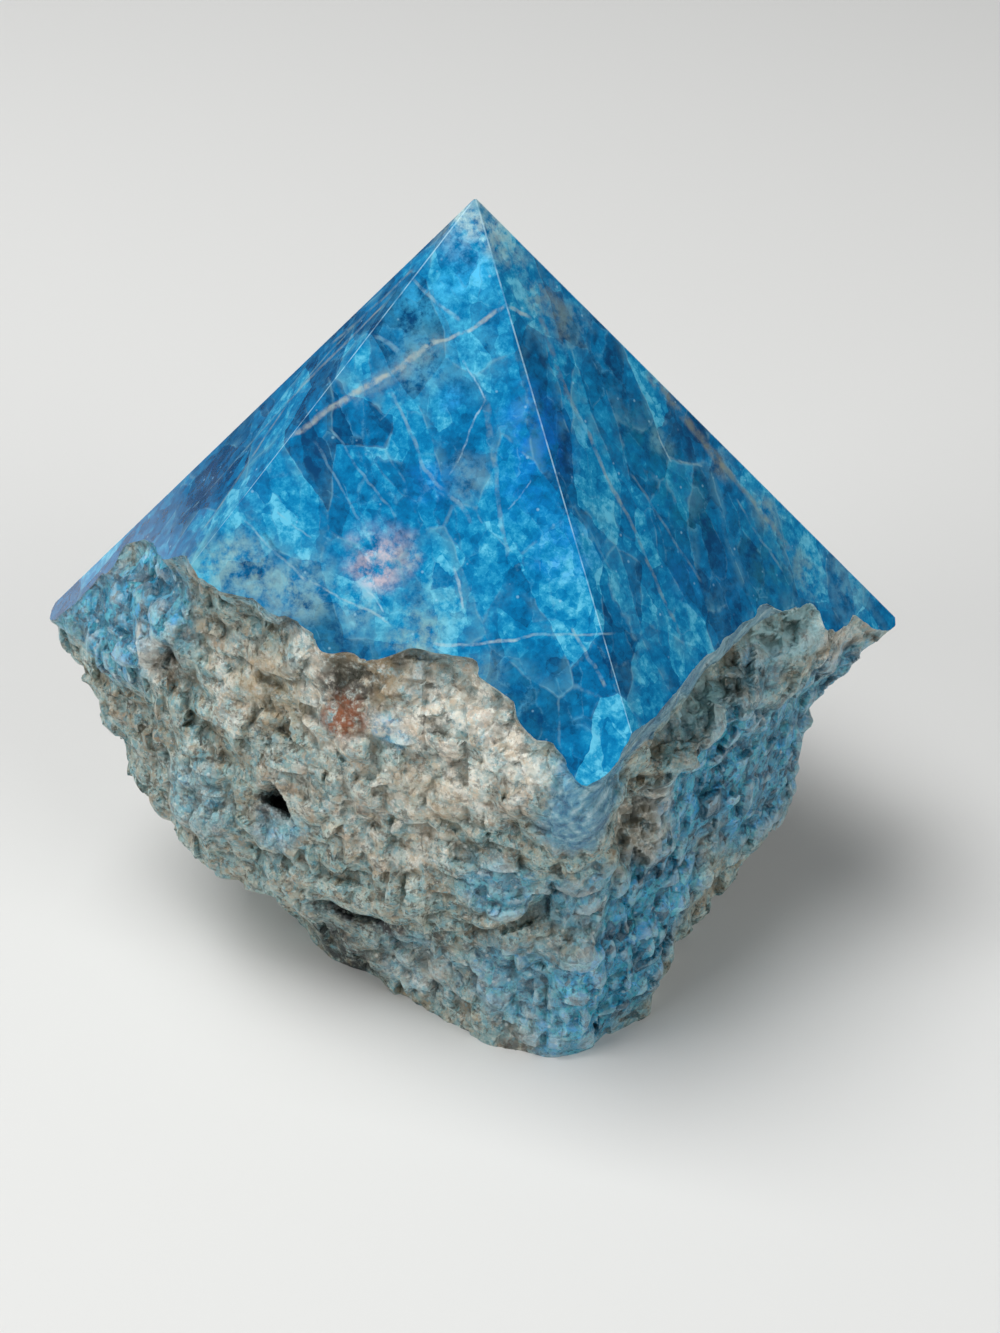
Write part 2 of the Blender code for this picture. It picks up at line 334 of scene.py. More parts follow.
bpy.ops.object.select_all(action="DESELECT")
bpy.ops.mesh.primitive_cube_add(size=BLOCK_SIDE)
block = bpy.context.object
for flat in flat_faces:
    edit(block)
    bpy.ops.mesh.select_all(action="SELECT")
    bpy.ops.mesh.bisect(plane_co=flat["point"], plane_no=flat["normal"], use_fill=True, clear_outer=True)
    close(block)
print("block:", len(block.data.polygons), "faces")
wheel = stone.modifiers.new("wheel", "BOOLEAN")
wheel.operation = "INTERSECT"
wheel.solver = "MANIFOLD"
wheel.object = block
bpy.context.view_layer.objects.active = stone
bpy.ops.object.modifier_apply(modifier=wheel.name)
bpy.data.objects.remove(block)
cut_height = max(vertex.co.z for vertex in stone.data.vertices)
print("after the cuts:", len(stone.data.polygons), "faces, height, mm:", round(cut_height / MM, 2))

# %% [markdown]
# No wheel leaves a knife edge: each ridge of a polished stone is rubbed down to a hair-thin flat that
# bruises white. A small bevel on the six ridges gives that line something to catch the light with.

# %% Rub down the ridges
RIDGE_WIDTH = 0.09 * MM


def ridge_edges(mesh):
    """Edges between two different polished faces."""
    owner = {}
    for face in mesh.polygons:
        for number, flat in enumerate(polished):
            if lies_on(face, flat):
                for key in face.edge_keys:
                    owner.setdefault(key, set()).add(number)
    return {key for key, numbers in owner.items() if len(numbers) == 2}


ridges = ridge_edges(stone.data)
edit(stone)
bpy.ops.mesh.select_mode(type="EDGE")
close(stone)
for edge in stone.data.edges:
    edge.select = edge.key in ridges
bpy.ops.object.mode_set(mode="EDIT")
bpy.ops.mesh.bevel(offset=RIDGE_WIDTH, segments=1, affect="EDGES")
close(stone)
print("ridge edges:", len(ridges))

# %% [markdown]
# Each material starts from what the stone is. Apatite has an IOR of 1.63 and no metal in it. Colours are
# written as sRGB hex values, as a paint chart gives them, and turned to the linear numbers that Blender
# works in.

# %% Helpers for materials
APATITE_IOR = 1.63


def linear(colour):
    """An sRGB hex colour such as "#1680bb" as Blender's linear RGBA."""
    channels = [int(colour[i : i + 2], 16) / 255 for i in (1, 3, 5)]
    return (*(c / 12.92 if c <= 0.04045 else ((c + 0.055) / 1.055) ** 2.4 for c in channels), 1.0)


def add(tree, kind, inputs=None, **settings):
    """Adds a node with its settings. Each input, by name or number, takes a value or an output."""
    node = tree.nodes.new(kind)
    for name, value in settings.items():
        setattr(node, name, value)
    for key, value in (inputs or {}).items():
        if isinstance(value, bpy.types.NodeSocket):
            tree.links.new(value, node.inputs[key])
        else:
            node.inputs[key].default_value = value
    return node


def ramp(tree, value, stops):
    """The colour that a colour ramp gives for a value. Its stops are (place, hex colour)."""
    node = add(tree, "ShaderNodeValToRGB", {0: value})
    elements = node.color_ramp.elements
    while len(elements) > 1:
        elements.remove(elements[-1])
    elements[0].position, elements[0].color = stops[0][0], linear(stops[0][1])
    for position, colour in stops[1:]:
        elements.new(position).color = linear(colour)
    return node.outputs["Color"]


def blend(tree, share, under, over):
    """Lays one colour over another by a share from 0 to 1."""
    return add(tree, "ShaderNodeMix", {0: share, 6: under, 7: over}, data_type="RGBA").outputs[2]


def stone_place(tree):
    """Where a point is, in millimetres from the ground under the tip."""
    here = add(tree, "ShaderNodeTexCoord").outputs["Object"]
    return add(
        tree,
        "ShaderNodeMapping",
        {"Vector": here, "Location": -foot / MM, "Scale": (1 / MM,) * 3},
    ).outputs["Vector"]


def shaken(tree, place, size, reach, detail=2.0):
    """The place moved about by a noise of that size, so that straight things turn wavy. Both in mm."""
    noise = add(tree, "ShaderNodeTexNoise", {"Vector": place, "Scale": 1 / size, "Detail": detail})
    centred = add(
        tree, "ShaderNodeVectorMath", {0: noise.outputs["Color"], 1: (0.5, 0.5, 0.5)}, operation="SUBTRACT"
    )
    scaled = add(
        tree, "ShaderNodeVectorMath", {0: centred.outputs[0], "Scale": 2.0 * reach}, operation="SCALE"
    )
    moved = add(tree, "ShaderNodeVectorMath", {0: place, 1: scaled.outputs[0]}, operation="ADD")
    return moved.outputs[0]


def within(tree, value, full, none):
    """One where the value is at full, easing to nothing at none."""
    ease = add(
        tree,
        "ShaderNodeMapRange",
        {"Value": value, "From Min": none, "From Max": full},
        interpolation_type="SMOOTHSTEP",
    )
    return ease.outputs[0]


def times(tree, first, second):
    """The product of two numbers."""
    return add(tree, "ShaderNodeMath", {0: first, 1: second}, operation="MULTIPLY").outputs[0]


def ball(tree, place, middle, reach, core=0.25):
    """One in the ball's core, easing to nothing at the reach. Both in mm, the core as a share."""
    away = add(tree, "ShaderNodeVectorMath", {0: place, 1: middle}, operation="DISTANCE")
    return within(tree, away.outputs["Value"], core * reach, reach)


# %% [markdown]
# The polished faces look into the stone. What shows is blue apatite in crystals about 6 mm across, drawn
# out along one direction, with fragments of about 2 mm and chips of about 1 mm in them. Where crystals
# meet, the stone is pale and cloudy, and fine pale threads run along their edges. All of it is one solid
# pattern, so it runs on from face to face over the ridges as in the real stone.

# %% The mosaic of crystals
# Sizes across, in millimetres.
CRYSTAL = 6.0
FRAGMENT = 2.3
CHIP = 0.9
CRYSTAL_DIRECTION = Vector((0.28, -0.55, -0.786))
CRYSTAL_STRETCH = 1.8
BLUES = (
    (0.05, "#00406e"),
    (0.22, "#005484"),
    (0.36, "#006397"),
    (0.50, "#0071a8"),
    (0.64, "#0a83b8"),
    (0.78, "#2a9cc8"),
    (0.95, "#62c2e2"),
)


def crystal_space(tree, place):
    """The place turned so that the crystals' long direction is up, and shortened along it."""
    turn = Vector((0, 0, 1)).rotation_difference(CRYSTAL_DIRECTION).to_euler()
    return add(
        tree,
        "ShaderNodeMapping",
        {"Vector": place, "Rotation": turn, "Scale": (1, 1, CRYSTAL_STRETCH)},
        vector_type="TEXTURE",
    ).outputs["Vector"]


def cells(tree, place, size):
    """Angular cells of that size in mm: a random colour for each, two random numbers, and how far a
    point is from the edge."""
    inside = add(tree, "ShaderNodeTexVoronoi", {"Vector": place, "Scale": 1 / size})
    random = add(tree, "ShaderNodeSeparateColor", {0: inside.outputs["Color"]}).outputs
    edge = add(
        tree, "ShaderNodeTexVoronoi", {"Vector": place, "Scale": 1 / size}, feature="DISTANCE_TO_EDGE"
    ).outputs["Distance"]
    return inside.outputs["Color"], random[0], random[1], edge


def clouds(tree, place, size, detail=4.0, roughness=0.5, seed=0.0):
    """A cloudy noise whose largest clouds are that size in mm."""
    noise = add(
        tree,
        "ShaderNodeTexNoise",
        {"Vector": place, "W": seed, "Scale": 1 / size, "Detail": detail, "Roughness": roughness},
        noise_dimensions="4D",
    )
    return noise.outputs[0]


def weigh(tree, parts, total=0.0):
    """The sum of outputs, each times its weight, added to a total."""
    for output, weight in parts:
        total = add(
            tree, "ShaderNodeMath", {0: output, 1: weight, 2: total}, operation="MULTIPLY_ADD"
        ).outputs[0]
    return total


# %% [markdown]
# Some of what shows has its own place on this stone: the cloudy foot of the front face, a pinkish patch,
# the greyish tip, and the cracks. A paler blue over the top of the front face is a painted reflection. A
# patch is a soft ball in the solid stone, with a ragged edge, that tints the mosaic and keeps its light and
# dark. A crack is a thin sheet that runs in towards the stone's middle, and a polished face cuts it in a
# line. Places are in millimetres from the ground under the tip.

# %% Patches and cracks
HEART = Vector((0.0, 6.0, 30.0))
CRACK_SHARE = 0.6
PATCH_SHARE = 0.85

# Soft patches, and one of painted reflection: middle, reach, colour, strength.
PATCHES_AND_SHEEN = (
    ((-27.0, -13.7, 53.0), 5.0, "#6f9aa0", 0.65),
    ((-19.0, -16.5, 50.5), 4.6, "#8fa8a0", 0.65),
    ((-5.5, -21.3, 48.3), 4.0, "#8ba59c", 0.60),
    ((0.5, -23.6, 46.0), 3.4, "#7fa09c", 0.55),
    ((-12, -21, 48), 10.0, "#3f8597", 0.45),
    ((-24, -13, 52), 8.0, "#4b8c98", 0.50),
    ((4, -26, 45), 9.0, "#1c6f8e", 0.40),
    ((30, -4, 46), 9.0, "#266f7c", 0.50),
    ((20, -12, 50), 7.0, "#1a6e86", 0.35),
    ((0, -0.6, 83.4), 6.5, "#b9cfc8", 1.0),
    ((3.2, -1.2, 79.3), 3.6, "#8fa39c", 0.7),
    ((6.6, -2.2, 74.2), 4.6, "#7d8c88", 0.75),
    ((9.0, -1.8, 71.4), 3.4, "#7b9794", 0.6),
    ((-1.2, -3.5, 78.0), 4.2, "#1fa6e6", 0.55),
    ((-4.6, -4.4, 75.4), 3.4, "#2fb4ee", 0.55),
    ((-5.5, -7.6, 70.6), 3.6, "#7fb0bd", 0.45),
    ((6.5, -12.3, 66.2), 6.0, "#0668c4", 0.85),
    ((5.0, -15.0, 61.5), 4.0, "#0a74c6", 0.6),
    ((8.6, -18.7, 57.0), 5.0, "#0a70c0", 0.7),
    ((-4.3, -13.4, 61.0), 3.0, "#066ab8", 0.7),
    ((-2.0, -9.6, 68.0), 2.2, "#1a94e0", 0.7),
    ((-0.4, -13.8, 61.8), 3.0, "#6a93a4", 0.75),
    ((-9.0, -16.5, 54.5), 4.4, "#bcaab0", 1.1),
    # Painted reflection: a paler blue over the top of the front face, for the soft sheen of the light there.
    ((-3.0, -6.0, 72.0), 9.0, "#55b4d2", 0.40),
    ((12.0, -6.0, 64.0), 9.0, "#0884b4", 0.40),
    ((-6.6, -17.0, 55.4), 2.2, "#a9aea2", 0.55),
    ((-22.6, -14.6, 52.4), 4.6, "#93b5b4", 0.75),
    ((-16.0, -17.0, 51.5), 4.2, "#8db4b4", 0.65),
    ((-11.0, -18.9, 50.2), 3.4, "#86b2bc", 0.6),
    ((-3.3, -19.8, 51.2), 4.2, "#6fa5ad", 0.55),
    ((-5.6, -21.0, 48.9), 3.0, "#8fb0ac", 0.6),
    ((14.2, -3.0, 64.6), 1.0, "#02406f", 0.9),
    ((16.0, -4.0, 61.0), 5.5, "#0b7089", 0.6),
    ((20.0, -5.5, 55.0), 6.0, "#0c7690", 0.6),
    ((18.0, -3.2, 59.6), 2.6, "#7fb3bd", 0.6),
    ((20.5, -12.5, 49.8), 4.5, "#0468b0", 0.75),
    ((25.0, -8.0, 47.8), 5.0, "#0870b0", 0.6),
    ((24.3, 0.6, 55.0), 2.6, "#8c9788", 0.6),
    ((29.5, 1.0, 49.4), 3.0, "#87998f", 0.65),
    ((34.0, -1.0, 43.5), 4.5, "#7f9a98", 0.6),
    ((38.5, 3.0, 39.5), 6.0, "#6c959f", 0.6),
    ((-38.0, 8.0, 62.0), 27.0, "#00416b", 0.8),
)

# Cracks: where they start and end, half their thickness, colour, strength.
CRACKS = (
    ((4.6, -5.4, 75.8), (-4.5, -6.7, 71.8), 0.22, "#cdd2c4", 0.85),
    ((-3.0, -6.6, 72.5), (-11.5, -8.0, 67.2), 1.10, "#93a8a6", 0.60),
    ((-4.0, -6.6, 72.1), (-18.0, -8.9, 63.3), 0.34, "#c4c6b6", 0.90),
    ((0.9, -9.9, 68.5), (-2.4, -13.2, 62.1), 0.12, "#b9dcec", 0.85),
    ((-1.0, -7.8, 71.1), (1.0, -10.0, 68.4), 0.12, "#b9dcec", 0.80),
    ((0.9, -9.9, 68.5), (1.7, -13.1, 63.6), 0.45, "#7d9fae", 0.70),
    ((1.5, -12.6, 64.4), (3.0, -18.0, 56.2), 0.28, "#86abb8", 0.70),
    ((5.2, -14.7, 62.2), (3.2, -15.8, 59.7), 0.10, "#a8d0e2", 0.75),
    ((-7.8, -8.3, 68.0), (-4.8, -12.6, 62.3), 0.24, "#93b6c2", 0.75),
    ((-4.8, -12.6, 62.3), (-0.4, -16.0, 58.3), 0.24, "#93b6c2", 0.70),
    ((-13.6, -9.3, 64.6), (-7.7, -14.4, 58.3), 0.18, "#86b4c8", 0.70),
    ((-15.2, -9.8, 63.4), (-9.9, -15.4, 55.9), 0.18, "#7fb0c6", 0.65),
    ((-5.6, -3.1, 77.2), (-1.9, -5.6, 74.4), 0.20, "#a4cbd6", 0.75),
    ((-10.2, -5.1, 72.4), (-7.1, -6.3, 71.3), 0.20, "#8fc0d2", 0.70),
    ((-2.3, -17.8, 54.7), (-1.2, -20.0, 51.6), 0.20, "#c3dade", 0.85),
    ((-20.4, -13.3, 55.8), (-18.2, -15.1, 53.7), 0.30, "#16405e", 0.85),
    ((-22.0, -12.6, 56.4), (-16.2, -16.4, 52.1), 0.16, "#a5c6cc", 0.70),
    ((-16.6, -16.2, 52.4), (-8.2, -19.7, 49.6), 0.18, "#b4cbcb", 0.70),
    ((-11.1, -17.2, 52.8), (-8.5, -19.2, 50.3), 0.14, "#b7d9e4", 0.80),
    ((-19.6, -12.0, 58.3), (-15.7, -14.4, 55.5), 0.14, "#8fbccb", 0.70),
    ((-3.9, -21.6, 48.2), (4.0, -22.4, 49.6), 0.20, "#c4d6d3", 0.85),
    ((3.4, -22.3, 49.5), (12.6, -23.0, 50.6), 0.20, "#a9c9cc", 0.65),
    ((9.0, -22.7, 50.9), (12.0, -25.8, 46.9), 0.22, "#a9c4c2", 0.65),
    ((8.2, -7.2, 68.4), (10.8, -9.0, 63.6), 0.45, "#8e9b98", 0.75),
    ((10.4, -8.6, 64.4), (13.9, -12.1, 57.6), 0.35, "#a3aca4", 0.80),
    ((13.5, -11.7, 58.4), (19.6, -17.0, 46.9), 0.30, "#8b9c98", 0.80),
    ((5.8, -3.6, 74.0), (8.6, -7.9, 67.4), 0.55, "#8b9a98", 0.70),
    ((9.2, -15.7, 60.1), (14.2, -18.5, 51.9), 0.16, "#5f9cb6", 0.60),
    ((15.0, -8.6, 59.3), (21.9, -11.0, 49.0), 0.24, "#7f9fa4", 0.70),
    ((17.7, -2.5, 60.5), (18.9, -3.9, 58.0), 0.16, "#b7d8de", 0.75),
    ((18.8, -3.7, 58.3), (22.2, -1.6, 55.8), 0.18, "#a9ccd2", 0.70),
    ((16.5, 1.3, 64.6), (24.5, 0.4, 54.7), 0.85, "#95987f", 0.85),
    ((23.8, 0.5, 55.5), (31.9, -0.3, 45.6), 0.55, "#8f9788", 0.85),
    ((26.0, -1.5, 51.8), (30.5, -3.0, 44.6), 0.22, "#87b0b6", 0.65),
    ((-8.5, -2.4, 74.0), (-18.4, -1.8, 63.5), 0.32, "#b3b8a6", 0.75),
    ((-18.0, -1.9, 64.0), (-26.5, -9.6, 54.0), 0.30, "#a3b0a2", 0.70),
    ((-12.0, -0.6, 70.7), (-28.0, -3.6, 53.0), 0.24, "#8fb3b2", 0.70),
    ((-6.0, -1.6, 77.2), (-14.5, 0.2, 68.0), 0.35, "#9fb2a9", 0.70),
)


def crack(tree, place, start, end, width):
    """A thin flat sheet from a line on the surface in towards the heart: one on it, nothing beyond its
    width, and nothing past its ends."""
    start, end = Vector(start), Vector(end)
    normal = (end - start).cross(HEART - start).normalized()
    along = add(tree, "ShaderNodeVectorMath", {0: place, 1: normal}, operation="DOT_PRODUCT")
    away = add(
        tree, "ShaderNodeMath", {0: along.outputs["Value"], 1: normal.dot(start)}, operation="SUBTRACT"
    )
    size = add(tree, "ShaderNodeMath", {0: away.outputs[0]}, operation="ABSOLUTE")
    near = within(tree, size.outputs[0], 0.25 * width, width)
    reach = 0.55 * (end - start).length
    from_middle = add(tree, "ShaderNodeVectorMath", {0: place, 1: (start + end) / 2}, operation="DISTANCE")
    return times(tree, near, within(tree, from_middle.outputs["Value"], 0.85 * reach, reach))


def inner_colour(tree, place):
    """Blue apatite seen through a polished face, and the cloudy noise that its veins follow."""
    wavy = shaken(tree, place, 5.0, 1.0, 3.0)
    crystals = crystal_space(tree, wavy)
    _, crystal_tone, crystal_haze, crystal_edge = cells(tree, crystals, CRYSTAL)
    fragments = crystal_space(tree, shaken(tree, place, 1.6, 0.45))
    _, fragment_tone, fragment_haze, fragment_edge = cells(tree, fragments, FRAGMENT)
    _, chip_tone, _, _ = cells(tree, shaken(tree, place, 0.7, 0.22), CHIP)
    mottle = clouds(tree, place, 1.8, 7.0, 0.72)
    fine = clouds(tree, place, 0.9, 5.0, 0.7, seed=5.0)
    drift = clouds(tree, place, 12.0, 2.0, seed=3.0)
    tone = weigh(
        tree,
        (
            (crystal_tone, 0.40),
            (fragment_tone, 0.24),
            (chip_tone, 0.14),
            (mottle, 0.80),
            (fine, 0.65),
            (drift, 0.40),
        ),
    )
    spread = add(tree, "ShaderNodeMapRange", {"Value": tone, "From Min": 0.96, "From Max": 1.68}).outputs[0]
    colour = ramp(tree, spread, BLUES)

    torn = shaken(tree, place, 3.5, 2.4, 6.0)
    patched = 0.0
    for middle, reach, patch_and_sheen_colour, strength in PATCHES_AND_SHEEN:
        share = times(tree, ball(tree, torn, middle, reach), PATCH_SHARE * strength)
        share = times(tree, share, within(tree, mottle, 0.60, 0.38))
        colour = blend(tree, share, colour, linear(patch_and_sheen_colour))
        patched = add(tree, "ShaderNodeMath", {0: share, 1: patched}, operation="MAXIMUM").outputs[0]
    light = add(tree, "ShaderNodeMapRange", {"Value": spread, "To Min": 0.55, "To Max": 1.45}).outputs[0]
    kept_light = weigh(tree, ((times(tree, patched, light), 1.0), (patched, -1.0)), 1.0)
    colour = add(
        tree, "ShaderNodeVectorMath", {0: colour, "Scale": kept_light}, operation="SCALE"
    ).outputs[0]

    ragged = clouds(tree, place, 2.5, 4.0, 0.6, seed=7.0)
    cloudy = times(tree, within(tree, crystal_edge, 0.0, 0.20), within(tree, ragged, 0.62, 0.42))
    cloudy = times(tree, cloudy, within(tree, crystal_haze, 0.9, 0.2))
    colour = blend(tree, times(tree, cloudy, 0.6), colour, linear("#4e90ad"))
    seam = times(tree, within(tree, crystal_edge, 0.0, 0.025), within(tree, ragged, 0.60, 0.46))
    colour = blend(tree, times(tree, seam, 0.28), colour, linear("#86b9c8"))
    split = times(tree, within(tree, fragment_edge, 0.0, 0.08), within(tree, mottle, 0.60, 0.45))
    split = times(tree, split, within(tree, fragment_haze, 0.8, 0.3))
    colour = blend(tree, times(tree, split, 0.35), colour, linear("#62a8c6"))

    bent = shaken(tree, shaken(tree, place, 5.0, 0.7, 2.0), 0.9, 0.16, 3.0)
    broken_up = within(tree, clouds(tree, place, 1.3, 4.0, 0.65, seed=13.0), 0.64, 0.32)
    for start, end, width, crack_colour, strength in CRACKS:
        faint = times(tree, broken_up, CRACK_SHARE * strength)
        share = times(tree, crack(tree, bent, start, end, width), faint)
        colour = blend(tree, share, colour, linear(crack_colour))

    fleck = add(tree, "ShaderNodeTexVoronoi", {"Vector": place, "Scale": 1 / 1.0})
    chosen = add(tree, "ShaderNodeSeparateColor", {0: fleck.outputs["Color"]}).outputs[2]
    glint = times(tree, within(tree, fleck.outputs["Distance"], 0.06, 0.20), within(tree, chosen, 0.92, 0.84))
    return blend(tree, times(tree, glint, 0.4), colour, linear("#a9dcf0")), ragged


# %% [markdown]
# The polish itself is a clear, smooth skin. Its roughness wanders between 0.06 and 0.20, which only shows
# where a light is mirrored. Very shallow dents follow the same noise as the veins, as harder and softer
# parts of a stone wear differently.

# %% Polished apatite


def new_material(name):
    """An empty material, its tree and its shader."""
    material = bpy.data.materials.new(name)
    material.use_nodes = True
    return material, material.node_tree, material.node_tree.nodes["Principled BSDF"]


polished_apatite, tree, shader = new_material("apatite_polished")
place = stone_place(tree)
colour, ragged = inner_colour(tree, place)
tree.links.new(colour, shader.inputs["Base Color"])
rubbed = clouds(tree, place, 3.0, 5.0, seed=17.0)
gloss = add(
    tree,
    "ShaderNodeMapRange",
    {"Value": rubbed, "From Min": 0.3, "From Max": 0.7, "To Min": 0.06, "To Max": 0.20},
)
tree.links.new(gloss.outputs[0], shader.inputs["Roughness"])
shader.inputs["IOR"].default_value = APATITE_IOR
dents = add(tree, "ShaderNodeBump", {"Height": ragged, "Strength": 0.05, "Distance": 0.2 * MM})
tree.links.new(dents.outputs[0], shader.inputs["Normal"])

# %% [markdown]
# The bruised ridges are the same stone, crushed to a fine pale powder in places.

# %% Bruised ridges
bruised_apatite, tree, shader = new_material("apatite_bruised_edge")
place = stone_place(tree)
colour, _ = inner_colour(tree, place)
crushed = within(tree, clouds(tree, place, 1.5, 3.0, seed=19.0), 0.56, 0.36)
tree.links.new(blend(tree, times(tree, crushed, 0.5), colour, linear("#a5d3e2")), shader.inputs["Base Color"])
shader.inputs["Roughness"].default_value = 0.5
shader.inputs["IOR"].default_value = APATITE_IOR

# %% [markdown]
# The broken skin is a mass of angular grey-green and blue grains, 1 to 2 mm across, set in a crumbly
# filling. In front the filling is cream and rust-brown and there is much of it. Elsewhere it is duller,
# and low on the right the grains are deep blue with hardly any. Close under the polish the stone is
# fresher and bluer. A bare crystal face has a roughness of 0.14 to 0.34, and the filling is powdery, up
# to about 0.8. Each grain's normal is leaned its own way, so that each catches another part of the light.

# %% Broken apatite
GREY_GRAINS = (
    (0.05, "#456a6d"),
    (0.25, "#628b8f"),
    (0.42, "#82a9a8"),
    (0.55, "#739ca0"),
    (0.70, "#a2bbb2"),
    (0.82, "#56a0b0"),
    (0.95, "#c0d3c9"),
)
BLUE_GRAINS = (
    (0.05, "#004058"),
    (0.25, "#006c90"),
    (0.45, "#0093be"),
    (0.62, "#2fabc0"),
    (0.80, "#009cdc"),
    (0.95, "#72d0de"),
)

# What is caught between the grains, and small specks of painted shade: size of its patches, how much noise it
# needs, colour, and how strong it is in the filled zones, elsewhere, and among the blue grains.
SPECKS_AND_SHADE = (
    (1.9, 0.48, "#e6e0cd", 0.90, 0.15, 0.02),
    (1.2, 0.53, "#b89a6c", 0.75, 0.35, 0.03),
    (1.0, 0.55, "#7ba3a6", 0.55, 0.50, 0.15),
    (0.9, 0.54, "#eceade", 0.80, 0.25, 0.08),
    (3.4, 0.54, "#94703c", 0.55, 0.42, 0.02),
    (2.0, 0.57, "#a5713a", 0.45, 0.25, 0.00),
    (0.8, 0.56, "#4b93a5", 0.35, 0.55, 0.30),
    # Dark brown specks: painted shade for the tiny shadows between the grains.
    (0.7, 0.56, "#3a3220", 0.75, 0.70, 0.20),
    (0.6, 0.57, "#0a3c5a", 0.00, 0.15, 0.80),
    (0.5, 0.61, "#f2f4ef", 0.60, 0.35, 0.15),
)

# Where the grains are blue: middle, reach, strength.
BLUE_ZONES = (
    ((24, -14, 27), 12, 1.0),
    ((18, -20, 15), 12, 1.0),
    ((14, -24, 9), 11, 1.0),
    ((11, -27, 4), 8, 0.9),
    ((30, -5, 21), 13, 0.95),
    ((36, 1, 28), 10, 0.85),
    ((29, -8, 36), 4.5, 0.55),
    ((12, -29, 38), 6, 0.95),
    ((9, -31, 33), 4.5, 0.85),
    ((2, -28, 23.5), 5, 0.75),
    ((10, -26.5, 21), 6, 0.7),
    ((4.4, -25.3, 9), 8, 0.75),
    ((-6, -20.5, 7), 7, 0.45),
    ((-8.2, -23.3, 39.6), 2.6, 1.0),
    ((-20.5, -19.3, 23.9), 3.6, 0.55),
    ((-29, -14, 24), 6, 0.35),
    ((-38, -3, 38), 9, 0.95),
    ((-33, -5.5, 43.5), 9, 0.95),
    ((-42, 4, 38), 8, 0.85),
    ((0, 34, 30), 16, 0.8),
    ((30, 18, 24), 14, 0.7),
)
# Where there is much filling between the grains: middle, reach, strength.
FILLED_ZONES = (
    ((-1, -26, 39), 10, 1.0),
    ((-12, -21, 42), 9, 1.0),
    ((-22, -15.5, 39), 8, 0.65),
    ((-8, -24, 29), 9, 0.8),
    ((-18, -19, 30), 6, 0.5),
    ((-32, -8, 38), 4, 0.7),
    ((16, -20, 26), 5, 0.85),
    ((24, -14, 40), 5, 0.8),
    ((28.7, -7, 41), 5.5, 0.9),
    ((39, -1, 37), 7, 0.6),
    ((-6, -21, 5), 5, 0.4),
    ((-20, 24, 26), 14, 0.7),
)
# Stains, painted shade in the hollows, under the ledge and under overhangs, and pale places of painted light
# in the shaded trough: middle, reach, colour, strength.
STAINS_AND_PAINTED_LIGHT = (
    ((-20.0, -16.5, 40.0), 6.0, "#a58a5c", 0.55),
    ((-4.0, -24.0, 33.0), 5.0, "#a58e66", 0.40),
    ((-10.6, -21.0, 46.0), 6.0, "#86704a", 0.90),
    ((-12.4, -21.4, 43.4), 3.8, "#3b3a33", 0.95),
    ((-12.6, -21.7, 40.0), 3.2, "#84461a", 1.0),
    # Painted light: pale places that lighten the trough under the right polished face, which lies in shadow.
    ((20.8, -18.5, 42.1), 6.0, "#b4dade", 0.90),
    ((25.2, -11.8, 42.1), 6.5, "#bfe0de", 0.90),
    ((22.4, -13.4, 36.0), 4.5, "#a4cccc", 0.75),
    ((28.6, -7.4, 42.8), 6.0, "#c6e0da", 0.85),
    ((31.3, -3.2, 38.8), 6.0, "#aed8dc", 0.85),
    ((-5.2, -22.0, 46.0), 3.2, "#8f8775", 0.5),
    ((-31.6, -9.4, 38.4), 3.4, "#54432c", 0.75),
    ((16.4, -20.2, 28.6), 4.2, "#5a5c53", 0.7),
    ((15.6, -21.0, 24.5), 5.0, "#5d563f", 0.75),
    # Painted shadow under the overhang low on the left, near the floor.
    ((-14.8, -14.8, 4.1), 8.0, "#262c2b", 0.95),
    ((4.2, -26.6, 0.6), 3.0, "#54463a", 0.8),
    # Painted shadow under the mound in front.
    ((8.4, -27.2, 22.6), 2.2, "#4d5650", 0.6),
    # Painted shade inside the hollow on the left.
    ((-19.6, -16.8, 25.9), 3.6, "#071013", 1.0),
    ((-18.4, -14.9, 24.0), 4.6, "#071013", 1.0),
    # Painted shade along the recess under the ledge, from left to front.
    ((-17.2, -18.8, 13.2), 2.6, "#1c211f", 0.9),
    ((-13.0, -17.4, 13.2), 4.2, "#12161a", 1.0),
    ((-9.4, -20.0, 12.8), 3.4, "#12161a", 1.0),
    ((-4.8, -23.5, 14.0), 2.4, "#20261f", 0.9),
    ((-0.1, -25.5, 15.3), 2.2, "#20261f", 0.8),
    ((5.4, -26.0, 18.4), 2.2, "#20302f", 0.7),
)


def zone(tree, place, balls):
    """The most that any of the soft balls gives at a place."""
    most = 0.0
    for middle, reach, strength in balls:
        share = times(tree, ball(tree, place, middle, reach, core=0.5), strength)
        most = add(tree, "ShaderNodeMath", {0: share, 1: most}, operation="MAXIMUM").outputs[0]
    return most


def attribute(tree, name):
    """A number stored on the mesh."""
    return add(tree, "ShaderNodeAttribute", attribute_name=name).outputs["Fac"]


def tilted(tree, leans):
    """The skin's normal, leaned a different way for each grain, as the faces of broken crystals are. Each
    lean is a random colour and how far it leans."""
    normal = add(tree, "ShaderNodeNewGeometry").outputs["Normal"]
    for random, amount in leans:
        centred = add(
            tree, "ShaderNodeVectorMath", {0: random, 1: (0.5, 0.5, 0.5)}, operation="SUBTRACT"
        ).outputs[0]
        lean = add(tree, "ShaderNodeVectorMath", {0: centred, "Scale": amount}, operation="SCALE").outputs[0]
        normal = add(tree, "ShaderNodeVectorMath", {0: normal, 1: lean}, operation="ADD").outputs[0]
    return add(tree, "ShaderNodeVectorMath", {0: normal}, operation="NORMALIZE").outputs[0]


